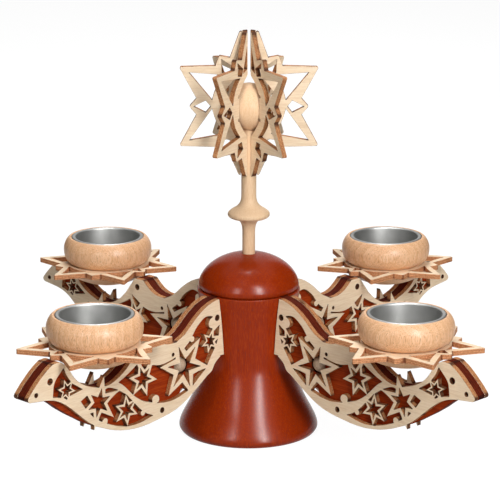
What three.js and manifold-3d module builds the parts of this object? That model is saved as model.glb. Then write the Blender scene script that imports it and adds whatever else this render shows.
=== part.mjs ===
// Advent candle holder in turned and fretsawn wood, in millimetres with +Z up.
// The origin is on the table under the middle of the bell. Four plywood arms leave the bell on its
// diagonals, each carries a tealight cup on a pierced star, and a finial star stands on the cap.
import * as THREE from 'three';
import { mergeVertices } from 'three/addons/utils/BufferGeometryUtils.js';
import Module from 'manifold-3d';

const wasm = await Module();
wasm.setup();

// Stock and fits
const PLY = 3; // thickness of every plywood piece
const CORE = 6; // space between the two face panels of an arm
const GAP = 0.3; // clearance between neighbouring pieces

// Fineness of the surfaces
const STEP = 1; // points per drawn point on a curved outline
const LEAF_STEP = 4; // parts of a leaf's curve
const BELL_SIDES = 24;
const BELL_STEPS = 10; // parts of its outline above the foot
const CUP_SIDES = 16;
const STEM_SIDES = 14;
const BALL_SIDES = 16;
const HOLE_SIDES = 6;
const DOWEL_SIDES = 10;
const SLIVER = 0.1; // cut surfaces are cleaned of details smaller than this

// Bell: a turned body with a slot for each arm, closed by a turned cap
const BELL_HEIGHT = 88;
const BELL_FOOT = 41.8; // widest radius, just above the table
const BELL_WAIST = 26.3; // smallest radius
const BELL_WAIST_HEIGHT = 46;
const BELL_SHOULDER = 30.7; // radius at the top
const FOOT_LIP = 1.2; // rounding under the foot
const DOWEL_RADIUS = 5;
const DOWEL_REACH = 28; // how far the cap's dowel goes down into the bell
const CAP_RADIUS = 30;
const CAP_LIP = 0.8; // rounding under the cap's edge
const CAP_HEIGHT = 20.8;
const CAP_DOWEL_DEPTH = 9;
const CAP_STEM_DEPTH = 10;

// Arms
const ARM_REACH = 124.1; // from the middle of the bell to the middle of a cup
const ARM_FOOT = 53; // height of the lowest part of the tongue in the slot
const TONGUE_RADIUS = 12; // how near the tongue comes to the middle
const BEAD_RADIUS = 5;
const HORN_BEARING = 2.5; // how far the drip star's short tips reach over the horns that carry it

// Stem and finial star
const STEM_RADIUS = 3.8; // below the collar
const STEM_NECK = 4.45; // above the collar, between the blades
const STEM_TENON = 3;
const COLLAR_RADIUS = 12.5;
const COLLAR_HEIGHT = 133;
const COLLAR_SPREAD = 9; // from the collar's edge to the end of each flare
const BALL_RADIUS = 13.8;
const BALL_HEIGHT = 198.1;
const BALL_BORE_DEPTH = 10;
const BLADES = 6;
const FINIAL_TIP = 46; // from the ball's middle to a long tip
const FINIAL_SMALL_TIP = 35;
const FINIAL_NOTCH = 31.2;
const FINIAL_RISE = 1.2; // the ring's middle above the ball's
const FINIAL_RING = 21.8; // outer radius of the ring round the ball
const FINIAL_RING_WIDTH = 3.8;
const FINIAL_STRIP = 5.5; // wood left at a long tip, along its ray
const FINIAL_SEAT = 6.3; // half the height of the edge that meets the ball
const FINIAL_NICK = 1.3; // side of the square nicks at the ends of that edge
const FINIAL_CURVE = 2.9; // space between the ball and the middle of the ring's inner edge
const FINIAL_EDGE = 4.2; // inner edge above the ball, from the axis
const FINIAL_BATTEN = 0.8; // strip between that edge and the window beside it
const FINIAL_WINDOW = 9.8; // from the upper tip down to that window's apex
const FINIAL_WINDOW_SPREAD = 26; // degrees from the axis to its outer corner, on the ring
const FINIAL_CHAMFER = 1.4; // at the ends of the upper and the lower tip
const FINIAL_FOOT = 4.5; // how far the lower tip falls short of a full one
const FINIAL_KITE = { root: 0.7, waist: 3.8, turn: 8, tip: 2.6 };

// Drip star, dome and cup on each arm
const PLATE_TIP = 44.5;
const PLATE_SMALL_TIP = 34;
const PLATE_NOTCH = 30;
const PLATE_RING = 26.2;
const PLATE_STRIP = 5.5;
const PLATE_SPREAD = 16; // degrees from a long tip to the plain side of its opening, at the ring
const PLATE_LEAF_SPREAD = 20.5; // degrees to the side with the leaf strip
const PLATE_LEAF = 5; // how far the leaf strips bulge into their openings
const PLATE_KITE = { root: -2.3, waist: -0.7, turn: 7, tip: 2.8 }; // reaches into the ring
const PIN_RADIUS = 4; // dowel through the dome, the star and the cup's floor
const DOME_SPACE = 5.5; // between the dome and the horns' tops
const DOME_EDGE = 1.9; // height of its straight edge
const DOME_HEIGHT = 10;
const DOME_BORE_DEPTH = 6.5;
const CUP_RADIUS = 27.6;
const CUP_FOOT = 22.5;
const CUP_LIP = 1.2; // width of the ring left round the holder's rim
const CUP_HEIGHT = 16.7;
const CUP_BELLY = 9; // height of the widest ring above the cup's foot
const CUP_FLOOR = 2.2;

// Tealight holder of pressed metal
const HOLDER_RADIUS = 20; // inside
const HOLDER_WALL = 0.5;
const HOLDER_RIM_WIDTH = 2; // how far the rolled rim stands out from the wall
const HOLDER_RIM_HEIGHT = 1.1;

// Angles of the star patterns, in degrees
const TIP_STEP = 30; // from a short tip to a long one
const NOTCH_TURN = 9; // from a short tip to the notch beside it
const BLUNT = 1; // half the width of a blunt long tip
const OPENING_SPREAD = 23; // half the width of a blade's opening, where it meets the ring

// The arm's drawing has its origin on the table under the cup's middle. These places in it are
// brought to the sizes above, and the rest is stretched between them.
const DRAWN = { neck: -97.8, innerHorn: -31.3, outerHorn: 31.7, foot: 53, top: 88, horn: 76.7 };
const NECK_START = 4; // from the bell's waist to the start of the underside

const COLOUR = {
  stain: { color: 0x963719, roughness: 0.38, metalness: 0 },
  birch: { color: 0xf0d9b8, roughness: 0.6, metalness: 0 },
  beech: { color: 0xe6b98e, roughness: 0.5, metalness: 0 },
  core: { color: 0x8f3414, roughness: 0.55, metalness: 0 },
  metal: { color: 0x9d9d9b, roughness: 0.35, metalness: 0.9 },
};

const group = new THREE.Group();

// Adds a named piece to a parent group
function piece(parent, name, geometry, colour, height = 0) {
  const mesh = new THREE.Mesh(geometry, new THREE.MeshStandardMaterial(COLOUR[colour]));
  mesh.name = name;
  mesh.position.z = height;
  parent.add(mesh);
  return mesh;
}

// Makes a solid for cutting and joining out of a closed geometry
function solid(geometry) {
  const bare = geometry.clone();
  bare.deleteAttribute('normal');
  bare.deleteAttribute('uv');
  const merged = mergeVertices(bare, 1e-4);
  const corners = merged.index.array;
  const kept = [];
  for (let i = 0; i < corners.length; i += 3) {
    const [a, b, c] = [corners[i], corners[i + 1], corners[i + 2]];
    if (a !== b && b !== c && c !== a) kept.push(a, b, c);
  }
  return new wasm.Manifold(new wasm.Mesh({
    numProp: 3,
    vertProperties: merged.attributes.position.array,
    triVerts: new Uint32Array(kept),
  }));
}

// Gives a cut solid back as a geometry
function surface(shape) {
  const mesh = shape.asOriginal().simplify(SLIVER).getMesh();
  const geometry = new THREE.BufferGeometry();
  geometry.setAttribute('position', new THREE.BufferAttribute(mesh.vertProperties, 3));
  geometry.setIndex(new THREE.BufferAttribute(mesh.triVerts, 1));
  geometry.computeVertexNormals();
  return geometry;
}

// Turns a profile of [radius, height] points round the upright axis
function turned(profile, sides) {
  const points = profile.map(([radius, height]) => new THREE.Vector2(radius, height));
  return new THREE.LatheGeometry(points, sides).rotateX(Math.PI / 2);
}

// Draws an outline: a stroke is a corner [x, y] or a list of points that a smooth curve passes
function draw(strokes, place = (x, y) => [x, y]) {
  const shape = new THREE.Shape();
  shape.moveTo(...place(...strokes[0]));
  for (const stroke of strokes.slice(1)) {
    if (Array.isArray(stroke[0])) {
      shape.splineThru(stroke.map(([x, y]) => new THREE.Vector2(...place(x, y))));
    } else {
      shape.lineTo(...place(...stroke));
    }
  }
  return shape;
}

// Cuts a shape from sheet of a given thickness, lying flat
function flatSheet(shape, thickness, step = STEP) {
  return new THREE.ExtrudeGeometry(shape, { depth: thickness, bevelEnabled: false, curveSegments: step });
}

// The same, standing up: the drawing's y is the height and the sheet's middle is at y
function uprightSheet(shape, thickness, y = 0) {
  return flatSheet(shape, thickness).rotateX(Math.PI / 2).translate(0, y + thickness / 2, 0);
}

// A round bar through an upright sheet
function uprightDisc([x, z], radius, thickness, y = 0, sides = HOLE_SIDES) {
  return new THREE.CylinderGeometry(radius, radius, thickness, sides).translate(x, y, z);
}

// An upright dowel that stands on the origin
function bar(radius, length) {
  return turned([[0, 0], [radius, 0], [radius, length], [0, length]], DOWEL_SIDES);
}

function polar(radius, degrees) {
  const angle = THREE.MathUtils.degToRad(degrees);
  return [radius * Math.cos(angle), radius * Math.sin(angle)];
}

// Bell

// The skirt and the neck above the waist, as [share of the height, share of the flare]
const SKIRT = [[0.13, 0.9], [0.26, 0.69], [0.51, 0.38], [0.86, 0.04]];
const NECK = [[0.15, 0.1], [0.57, 0.42], [0.94, 0.9]];

// Points of the bell's outline from the foot to the shoulder, as [radius, height]
function bellOutline() {
  const foot = 2 * FOOT_LIP;
  const flare = BELL_FOOT - BELL_WAIST;
  const swell = BELL_SHOULDER - BELL_WAIST;
  const skirtHeight = BELL_WAIST_HEIGHT - foot;
  const neckHeight = BELL_HEIGHT - BELL_WAIST_HEIGHT;
  const curve = new THREE.SplineCurve([
    new THREE.Vector2(BELL_FOOT, foot),
    ...SKIRT.map(([up, out]) => new THREE.Vector2(BELL_WAIST + out * flare, foot + up * skirtHeight)),
    new THREE.Vector2(BELL_WAIST, BELL_WAIST_HEIGHT),
    ...NECK.map(([up, out]) => (
      new THREE.Vector2(BELL_WAIST + out * swell, BELL_WAIST_HEIGHT + up * neckHeight)
    )),
    new THREE.Vector2(BELL_SHOULDER, BELL_HEIGHT),
  ]);
  return [
    [BELL_FOOT - FOOT_LIP, 0],
    [BELL_FOOT, FOOT_LIP],
    ...curve.getPoints(BELL_STEPS).map((point) => [point.x, point.y]),
  ];
}

const BELL_POINTS = bellOutline();

// Radius of the bell at a height
function bellRadius(height) {
  const above = BELL_POINTS.findIndex(([, z], i) => i > 0 && z >= height);
  const [[r0, z0], [r1, z1]] = [BELL_POINTS[above - 1], BELL_POINTS[above]];
  return r0 + (r1 - r0) * (height - z0) / (z1 - z0);
}

function bellBody() {
  const bore = DOWEL_RADIUS + GAP;
  const boreFoot = BELL_HEIGHT - DOWEL_REACH - GAP;
  const profile = [[0, 0], ...BELL_POINTS, [bore, BELL_HEIGHT], [bore, boreFoot], [0, boreFoot]];
  let body = solid(turned(profile, BELL_SIDES));
  const inner = TONGUE_RADIUS - GAP;
  const foot = ARM_FOOT - GAP;
  const length = 2 * BELL_FOOT - inner;
  const height = 2 * (BELL_HEIGHT - foot);
  for (const azimuth of Object.values(ARMS)) {
    const slot = new THREE.BoxGeometry(length, CORE, height);
    slot.translate(inner + length / 2, 0, foot + height / 2).rotateZ(azimuth);
    body = body.subtract(solid(slot));
  }
  return surface(body);
}

// The cap's outline, as [share of the width inwards, share of the height]
const CAP_CURVE = [[0, 0.13], [0.04, 0.29], [0.17, 0.53], [0.4, 0.78], [0.7, 0.94]];

// Cap with a bore from below for its dowel and one from above for the stem
function bellCap() {
  const dowel = DOWEL_RADIUS + GAP;
  const stem = STEM_RADIUS + GAP;
  const width = CAP_RADIUS - stem;
  return turned([
    [0, CAP_DOWEL_DEPTH],
    [dowel, CAP_DOWEL_DEPTH],
    [dowel, 0],
    [CAP_RADIUS - CAP_LIP, 0],
    ...CAP_CURVE.map(([inward, up]) => [CAP_RADIUS - inward * width, CAP_HEIGHT * up]),
    [stem, CAP_HEIGHT],
    [stem, CAP_HEIGHT - CAP_STEM_DEPTH],
    [0, CAP_HEIGHT - CAP_STEM_DEPTH],
  ], BELL_SIDES);
}

// Arms

const ARMS = {
  front_left: THREE.MathUtils.degToRad(225),
  front_right: THREE.MathUtils.degToRad(315),
  back_left: THREE.MathUtils.degToRad(135),
  back_right: THREE.MathUtils.degToRad(45),
};

const HORN_SEAT = PLATE_SMALL_TIP - HORN_BEARING; // from the cup's middle to each horn's top
const ARM_SCALE = (ARM_REACH - HORN_SEAT - BELL_WAIST) / (DRAWN.innerHorn - DRAWN.neck);

// Moves a point of the arm's drawing, [distance from the cup's middle, height], to its real place
function onArm(r, z) {
  const up = (BELL_HEIGHT - ARM_FOOT) / (DRAWN.top - DRAWN.foot);
  const height = ARM_FOOT + (z - DRAWN.foot) * up;
  if (r > 0) return [ARM_REACH + r * HORN_SEAT / DRAWN.outerHorn, height];
  if (r > DRAWN.innerHorn) return [ARM_REACH - r * HORN_SEAT / DRAWN.innerHorn, height];
  return [BELL_WAIST + (r - DRAWN.neck) * ARM_SCALE, height];
}

// Pierced stars in the arm: middle, turn of a tip, and tip and notch radii outside and inside
const ARM_STARS = [
  { at: [-64.3, 52.8], turn: 11, tip: 20.2, notch: 9.5, hollowTip: 13.5, hollowNotch: 4.4 },
  { at: [-85.6, 63.8], turn: -15, tip: 7.5, notch: 3.6, hollowTip: 4.2, hollowNotch: 2 },
  { at: [-31, 53], turn: 14, tip: 11.7, notch: 5.5, hollowTip: 7, hollowNotch: 2.9 },
  { at: [-18.1, 37.2], turn: 27, tip: 9.9, notch: 4.8, hollowTip: 6.4, hollowNotch: 2.5 },
  { at: [27.3, 59.5], turn: 15, tip: 7, notch: 3.4, hollowTip: 4.3, hollowNotch: 2 },
];
const SPIKE_STAR = { at: [2.9, 46.4], turn: 45, tip: 16, notch: 6.5, hollowTip: 8.4, hollowNotch: 3.6 };

// Round tabs that reach into the windows, and drilled holes, as [middle, radius]
const ARM_TABS = [
  [[-89.1, 74.5], 4.5], [[-70.6, 68.2], 2], [[-40.8, 38], 3], [[-30.9, 32.6], 1.9], [[-1.3, 34.1], 2.3],
];
const ARM_HOLES = [
  [[-91.5, 76.8], 1.8], [[-55.2, 62.1], 1], [[-33.1, 71.3], 1.8],
  [[-46.1, 30.5], 1.6], [[39.5, 67.2], 1.9], [[49.8, 61.6], 1.3],
];

// Edges shared by the face panels and the core, drawn from the bell outwards and back
const ARM_UNDERSIDE = [
  [[-94.1, 52.3], [-90.6, 50.3], [-87.8, 46.5]],
  [-86.8, 45],
  [-83.1, 43],
  [[-74.1, 36.9], [-64.1, 31], [-54.1, 27.3], [-41.1, 25.3], [-29.1, 24.2], [-16.1, 25.5],
    [-5.3, 28.5], [5.2, 32.8]],
];
const PANEL_ARCH = [
  [7.9, 34.5],
  [[12.3, 37.5], [20.4, 44.5], [25.9, 49.3], [31.4, 53], [36.8, 55.5], [43.9, 57]],
  [54.5, 58.2],
];
const CORE_ARCH = [
  [7.9, 33.8],
  [[17.9, 39.8], [27.9, 46.3], [37.9, 54]],
  [[43.9, 56.8], [54.5, 58.2]],
];
const ARM_TAIL = [
  [[56.1, 59.6], [55.4, 61.4]],
  [[50.4, 66.8], [43.2, 73], [37.4, DRAWN.horn]],
  [DRAWN.outerHorn, DRAWN.horn],
  [[27.7, 73.9], [24.1, 69.8], [20.4, 64.1], [12.2, 58.7], [2.9, 55.4]],
  [-4.6, 55.4],
  [[-15.3, 59.5], [-20.7, 64.7], [-30.1, 75.6]],
  [DRAWN.innerHorn, DRAWN.horn],
  [-38.5, DRAWN.horn],
  [[-41.6, 74.2], [-46.6, 70.7], [-54.1, 68.9], [-61.6, 70.2], [-70.1, 77], [-80.1, 84.2], [-90.1, 87.7]],
];

// Windows in a face panel; the stars are laid over them afterwards
const ARM_WINDOWS = [
  [[-87.6, 78.4], [[-83.6, 79.3], [-80.1, 78.5], [-74.6, 74.5], [-71.5, 70.5]], [-68.5, 67],
    [-64.3, 63.8], [-66.1, 61], [-74.1, 53], [-82.8, 49.5], [-89.3, 58.8], [-87.6, 60]],
  [[-93.3, 72], [-92.6, 65.8], [-88.6, 66], [-88.8, 69.3]],
  [[-91.8, 63.8], [-90.8, 61], [-89.6, 62.5]],
  [[-81.8, 47.8], [-71.1, 39.8], [-70.1, 47]],
  [[-67.1, 37.5], [[-57.6, 35], [-47.6, 34.8], [-33.6, 38.3], [-23.6, 44.7]], [-30.1, 50],
    [-34.1, 56], [-38.1, 59.5], [[-46.1, 57.9], [-52.6, 59], [-57.6, 60]], [-58.1, 57.5], [-64.1, 46]],
  [[-35.3, 61.3], [-32.1, 57], [-28.3, 65.5]],
  [[-26.5, 62.5], [-30.1, 54], [-23.1, 45.3], [[-19.4, 49.1], [-15.7, 52.7], [-12.1, 55.1]],
    [[-19.4, 58.3], [-26.5, 62.5]]],
  [[-38.6, 29.1], [[-29.4, 27.2], [-21.1, 27], [-13.6, 28.5], [-3.2, 32.4], [3.3, 36.2]],
    [1.9, 41], [-3.1, 46], [-12.8, 49.9],[[-19.4, 45.3], [-24.6, 39.2], [-29.6, 34.3], [-33.2, 31.6], [-38.6, 29.1]]],
  [[-11.5, 50.8], [-2.1, 50], [-1.9, 53.2], [[-5.3, 53.5], [-11.5, 50.8]]],
  [[12, 52.7], [8.9, 47.8], [13.2, 45.5], [16.8, 50.5]],
  [[7, 41.8], [7.3, 38.9], [9.8, 41.6]],
  [[29.5, 72.7], [27.3, 68.2], [24.3, 63.9], [27.9, 59], [31.6, 56.1], [37.5, 57.7],
    [[36.8, 63.6], [35, 67.3], [29.5, 72.7]]],
  [[15.4, 57.4], [24.7, 55.7], [25.9, 59], [23.2, 62.5]],
  [[26.4, 54.8], [27.3, 54.1], [29.5, 55.5], [27.9, 57]],
];

// Small cut in the core's lower edge
const ARM_BITE = [[-74.1, 30], [-63.6, 35.8], [-64.6, 38.5], [-70.1, 39]];

// Outline of a six-point star of the arm
function starOutline({ at, turn }, tip, notch) {
  const [x, z] = onArm(...at);
  const points = [];
  for (let i = 0; i < 6; i += 1) {
    for (const [radius, direction] of [[tip, 2 * i * TIP_STEP], [notch, (2 * i + 1) * TIP_STEP]]) {
      const [dx, dz] = polar(radius * ARM_SCALE, turn + direction);
      points.push([x + dx, z + dz]);
    }
  }
  return draw(points);
}

// One face panel of an arm, in the arm's own frame with its middle at y
function facePanel(y) {
  const neck = [1, 0.75, 0.5, 0.25, 0].map((share) => {
    const height = ARM_FOOT + share * (BELL_HEIGHT - ARM_FOOT);
    const radius = bellRadius(height);
    return [Math.sqrt(radius ** 2 - (CORE / 2) ** 2) + GAP, height];
  });
  const start = [DRAWN.neck + NECK_START, DRAWN.foot];
  const shape = draw([start, ...ARM_UNDERSIDE, ...PANEL_ARCH, ...ARM_TAIL], onArm);
  for (const point of neck) shape.lineTo(...point);
  const sheet = solid(uprightSheet(shape, PLY, y));
  const through = 2 * PLY;

  let panel = sheet;
  for (const strokes of ARM_WINDOWS) {
    panel = panel.subtract(solid(uprightSheet(draw(strokes, onArm), through, y)));
  }
  for (const star of ARM_STARS) {
    const frame = starOutline(star, star.tip, star.notch);
    panel = panel.add(solid(uprightSheet(frame, PLY, y)).intersect(sheet));
  }
  const spikes = starOutline(SPIKE_STAR, SPIKE_STAR.tip, SPIKE_STAR.notch);
  panel = panel.add(solid(uprightSheet(spikes, PLY, y)));
  for (const [at, radius] of ARM_TABS) {
    panel = panel.add(solid(uprightDisc(onArm(...at), radius * ARM_SCALE, PLY, y)));
  }
  for (const star of [...ARM_STARS, SPIKE_STAR]) {
    const hollow = starOutline(star, star.hollowTip, star.hollowNotch);
    panel = panel.subtract(solid(uprightSheet(hollow, through, y)));
  }
  for (const [at, radius] of ARM_HOLES) {
    panel = panel.subtract(solid(uprightDisc(onArm(...at), radius * ARM_SCALE, through, y)));
  }
  return surface(panel);
}

const BEAD_PLACE = onArm(...ARM_STARS[0].at);

// The stained core between the panels, with its tongue in the bell and a round hole for the bead
function armCore() {
  const thickness = CORE - 2 * GAP;
  const start = [DRAWN.neck + NECK_START, DRAWN.foot];
  const shape = draw([start, ...ARM_UNDERSIDE, ...CORE_ARCH, ...ARM_TAIL], onArm);
  shape.lineTo(bellRadius(BELL_HEIGHT), BELL_HEIGHT);
  shape.lineTo(TONGUE_RADIUS, BELL_HEIGHT);
  shape.lineTo(TONGUE_RADIUS, ARM_FOOT);
  const bite = solid(uprightSheet(draw(ARM_BITE, onArm), 2 * CORE));
  const hole = solid(uprightDisc(BEAD_PLACE, BEAD_RADIUS + GAP, 2 * CORE, 0, DOWEL_SIDES));
  return surface(solid(uprightSheet(shape, thickness)).subtract(bite).subtract(hole));
}

// Cup, drip star and dome

const PLATE_FOOT = onArm(0, DRAWN.horn)[1] + GAP;
const PLATE_TOP = PLATE_FOOT + PLY;
const DOME_TOP = PLATE_FOOT - GAP;
const DOME_RADIUS = HORN_SEAT - DOME_SPACE;
const CUP_BASE = PLATE_TOP + GAP;
const HOLDER_OUTER = HOLDER_RADIUS + HOLDER_WALL;
const HOLDER_RIM = HOLDER_OUTER + HOLDER_RIM_WIDTH;
const REBATE = HOLDER_RIM_HEIGHT + GAP / 3;

// Opening inside a short tip, from the ring outwards
function kiteOpening(ring, smallTip, { root, waist, turn, tip }, direction) {
  const path = new THREE.Path();
  path.moveTo(...polar(ring + root, direction));
  path.lineTo(...polar(ring + waist, direction + turn));
  path.lineTo(...polar(smallTip - tip, direction));
  path.lineTo(...polar(ring + waist, direction - turn));
  path.closePath();
  return path;
}

// Opening inside a long tip of the drip star, with a leaf strip on one side of it
function leafOpening(direction, leafSide) {
  const tip = PLATE_TIP - PLATE_STRIP;
  const middle = polar((tip + PLATE_RING) / 2, direction + leafSide * PLATE_LEAF_SPREAD / 2);
  const inward = polar(PLATE_LEAF, direction - leafSide * 2 * TIP_STEP);
  const path = new THREE.Path();
  path.moveTo(...polar(PLATE_RING, direction + leafSide * PLATE_LEAF_SPREAD));
  path.quadraticCurveTo(middle[0] + inward[0], middle[1] + inward[1], ...polar(tip, direction));
  path.lineTo(...polar(PLATE_RING, direction - leafSide * PLATE_SPREAD));
  path.lineTo(...polar(PLATE_RING, direction));
  path.closePath();
  return path;
}

// Pierced six-point star. The strips beside every second short tip swell like leaves, and the two
// short tips over the horns are pierced.
function dripStar() {
  const outline = [];
  for (let short = 0; short < 360; short += 2 * TIP_STEP) {
    const long = short + TIP_STEP;
    outline.push(polar(PLATE_SMALL_TIP, short), polar(PLATE_NOTCH, short + NOTCH_TURN));
    outline.push(polar(PLATE_TIP, long - BLUNT), polar(PLATE_TIP, long + BLUNT));
    outline.push(polar(PLATE_NOTCH, short + 2 * TIP_STEP - NOTCH_TURN));
  }
  const shape = draw(outline);
  for (let i = 0; i < 6; i += 1) {
    shape.holes.push(leafOpening((2 * i + 1) * TIP_STEP, i % 2 ? 1 : -1));
  }
  for (const overHorn of [0, 180]) {
    shape.holes.push(kiteOpening(PLATE_RING, PLATE_SMALL_TIP, PLATE_KITE, overHorn));
  }
  const bore = new THREE.Path();
  bore.absarc(0, 0, PIN_RADIUS + GAP, 0, 2 * Math.PI, true);
  shape.holes.push(bore);
  return flatSheet(shape, PLY, LEAF_STEP);
}

// The dome's underside, as [share of the radius, share of the height below its straight edge]
const DOME_CURVE = [[0.31, 0.06], [0.58, 0.28], [0.83, 0.66]];

function dome() {
  const bore = PIN_RADIUS + GAP;
  const depth = DOME_HEIGHT - DOME_EDGE;
  return turned([
    [0, -DOME_HEIGHT],
    ...DOME_CURVE.map(([out, up]) => [DOME_RADIUS * out, depth * up - DOME_HEIGHT]),
    [DOME_RADIUS, -DOME_EDGE],
    [DOME_RADIUS, 0],
    [bore, 0],
    [bore, -DOME_BORE_DEPTH],
    [0, -DOME_BORE_DEPTH],
  ], CUP_SIDES);
}

// Cup with a rounded belly, a rebate for the holder's rim and a recess for its wall
function cup() {
  const bore = PIN_RADIUS + GAP;
  const rebate = HOLDER_RIM + GAP;
  const recess = HOLDER_OUTER + GAP;
  const lip = rebate + CUP_LIP;
  const swell = CUP_RADIUS - CUP_FOOT;
  const shrink = CUP_RADIUS - lip;
  const above = CUP_HEIGHT - CUP_BELLY;
  const profile = [[bore, 0], [CUP_FOOT, 0]];
  for (const angle of [-50, 0]) {
    const [across, up] = polar(1, angle);
    profile.push([CUP_FOOT + swell * across, CUP_BELLY * (1 + up)]);
  }
  for (const angle of [35, 65, 90]) {
    const [across, up] = polar(1, angle);
    profile.push([lip + shrink * across, CUP_BELLY + above * up]);
  }
  profile.push([rebate, CUP_HEIGHT], [rebate, CUP_HEIGHT - REBATE], [recess, CUP_HEIGHT - REBATE]);
  profile.push([recess, CUP_FLOOR], [bore, CUP_FLOOR], [bore, 0]);
  return turned(profile, CUP_SIDES);
}

// Pressed holder with a rolled rim, its height measured from the underside of its floor
function tealightHolder() {
  const rim = CUP_HEIGHT - REBATE - CUP_FLOOR;
  return turned([
    [0, 0],
    [HOLDER_OUTER, 0],
    [HOLDER_OUTER, rim],
    [HOLDER_RIM, rim],
    [HOLDER_RIM, rim + HOLDER_RIM_HEIGHT / 2],
    [HOLDER_RIM - GAP, rim + HOLDER_RIM_HEIGHT],
    [HOLDER_RADIUS, rim + HOLDER_RIM_HEIGHT],
    [HOLDER_RADIUS, HOLDER_WALL],
    [0, HOLDER_WALL],
  ], CUP_SIDES);
}

// Stem and finial

// The flares below and above the collar's edge, as [share of the spread, share of the flare]
const FLARE_BELOW = [[1, 0], [0.61, 0.11], [0.4, 0.37], [0.18, 0.87], [0, 1]];
const FLARE_ABOVE = [[0.21, 0.86], [0.41, 0.43], [0.61, 0.19], [1, 0]];

function stem(foot) {
  const below = COLLAR_RADIUS - STEM_RADIUS;
  const above = COLLAR_RADIUS - STEM_NECK;
  const shoulder = BALL_HEIGHT - BALL_RADIUS - GAP;
  return turned([
    [0, foot],
    [STEM_RADIUS, foot],
    ...FLARE_BELOW.map(([down, out]) => [STEM_RADIUS + out * below, COLLAR_HEIGHT - down * COLLAR_SPREAD]),
    ...FLARE_ABOVE.map(([up, out]) => [STEM_NECK + out * above, COLLAR_HEIGHT + up * COLLAR_SPREAD]),
    [STEM_NECK, shoulder],
    [STEM_TENON, shoulder],
    [STEM_TENON, shoulder + BALL_BORE_DEPTH],
    [0, shoulder + BALL_BORE_DEPTH],
  ], STEM_SIDES);
}

// Ball with a bore from below for the stem's tenon, its middle at the origin
function ball() {
  const bore = STEM_TENON + GAP;
  const top = BALL_BORE_DEPTH - BALL_RADIUS;
  const start = -Math.acos(bore / BALL_RADIUS);
  const steps = BALL_SIDES / 2;
  const profile = [[0, top], [bore, top]];
  for (let i = 0; i < steps; i += 1) {
    const angle = start + (Math.PI / 2 - start) * i / steps;
    profile.push([BALL_RADIUS * Math.cos(angle), BALL_RADIUS * Math.sin(angle)]);
  }
  profile.push([0, BALL_RADIUS]);
  return turned(profile, BALL_SIDES);
}

// A point at a radius from the middle of the blade's ring
function round(radius, degrees) {
  const [x, z] = polar(radius, degrees);
  return [x, z + FINIAL_RISE];
}

// Opening inside a long tip of a blade
function tipOpening(direction) {
  const path = new THREE.Path();
  path.moveTo(...polar(FINIAL_TIP - FINIAL_STRIP, direction));
  path.lineTo(...round(FINIAL_RING, direction + OPENING_SPREAD));
  path.lineTo(...round(FINIAL_RING, direction));
  path.lineTo(...round(FINIAL_RING, direction - OPENING_SPREAD));
  path.closePath();
  return path;
}

// Narrow window beside the straight inner edge of the upper tip
function headWindow() {
  const inner = FINIAL_EDGE + FINIAL_BATTEN;
  const path = new THREE.Path();
  path.moveTo(inner, FINIAL_TIP - FINIAL_WINDOW);
  path.lineTo(...round(FINIAL_RING, 90 - FINIAL_WINDOW_SPREAD));
  path.lineTo(inner, FINIAL_RING + FINIAL_RISE);
  path.closePath();
  return path;
}

// Half star round the ball, measured from the ball's middle
function blade() {
  const seat = BALL_RADIUS + GAP;
  const nick = seat + FINIAL_NICK;
  const curveTurn = 2 * TIP_STEP - NOTCH_TURN / 2;
  const stemEdge = STEM_NECK + GAP;
  const rim = FINIAL_RING - FINIAL_RING_WIDTH;
  const foot = FINIAL_FOOT - FINIAL_TIP;
  const head = FINIAL_TIP - FINIAL_CHAMFER;
  const upperSeat = FINIAL_RISE + FINIAL_SEAT;
  const lowerSeat = FINIAL_RISE - FINIAL_SEAT;
  const outline = [[stemEdge, FINIAL_RISE - rim], [stemEdge, foot]];
  outline.push([stemEdge + FINIAL_CHAMFER, foot + FINIAL_CHAMFER / 2]);
  for (const short of [-2 * TIP_STEP, 0, 2 * TIP_STEP]) {
    const long = short + TIP_STEP;
    outline.push(polar(FINIAL_NOTCH, short - NOTCH_TURN), polar(FINIAL_SMALL_TIP, short));
    outline.push(polar(FINIAL_NOTCH, short + NOTCH_TURN));
    if (long < 90) outline.push(polar(FINIAL_TIP, long - BLUNT), polar(FINIAL_TIP, long + BLUNT));
  }
  outline.push([FINIAL_EDGE + FINIAL_CHAMFER, head - GAP], [FINIAL_EDGE, head]);
  outline.push([FINIAL_EDGE, FINIAL_RISE + rim], round(BALL_RADIUS + FINIAL_CURVE, curveTurn));
  outline.push([seat, upperSeat + FINIAL_NICK], [nick, upperSeat + FINIAL_NICK]);
  outline.push([nick, upperSeat], [seat, upperSeat], [seat, lowerSeat], [nick, lowerSeat]);
  outline.push([nick, lowerSeat - FINIAL_NICK], [seat, lowerSeat - FINIAL_NICK]);
  outline.push(round(BALL_RADIUS + FINIAL_CURVE, -curveTurn));
  const shape = draw(outline);
  for (const short of [-2 * TIP_STEP, 0, 2 * TIP_STEP]) {
    shape.holes.push(kiteOpening(FINIAL_RING, FINIAL_SMALL_TIP, FINIAL_KITE, short));
  }
  shape.holes.push(tipOpening(-TIP_STEP), tipOpening(TIP_STEP), headWindow());
  return uprightSheet(shape, PLY);
}

// Assembly

const CAP_FOOT = BELL_HEIGHT + GAP;
const PANEL_MIDDLE = (CORE + PLY) / 2;

piece(group, 'bell_body', bellBody(), 'stain');
piece(group, 'bell_cap', bellCap(), 'stain', CAP_FOOT);

const dowelLength = DOWEL_REACH + CAP_DOWEL_DEPTH;
piece(group, 'cap_dowel', bar(DOWEL_RADIUS, dowelLength), 'beech', BELL_HEIGHT - DOWEL_REACH);

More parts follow.
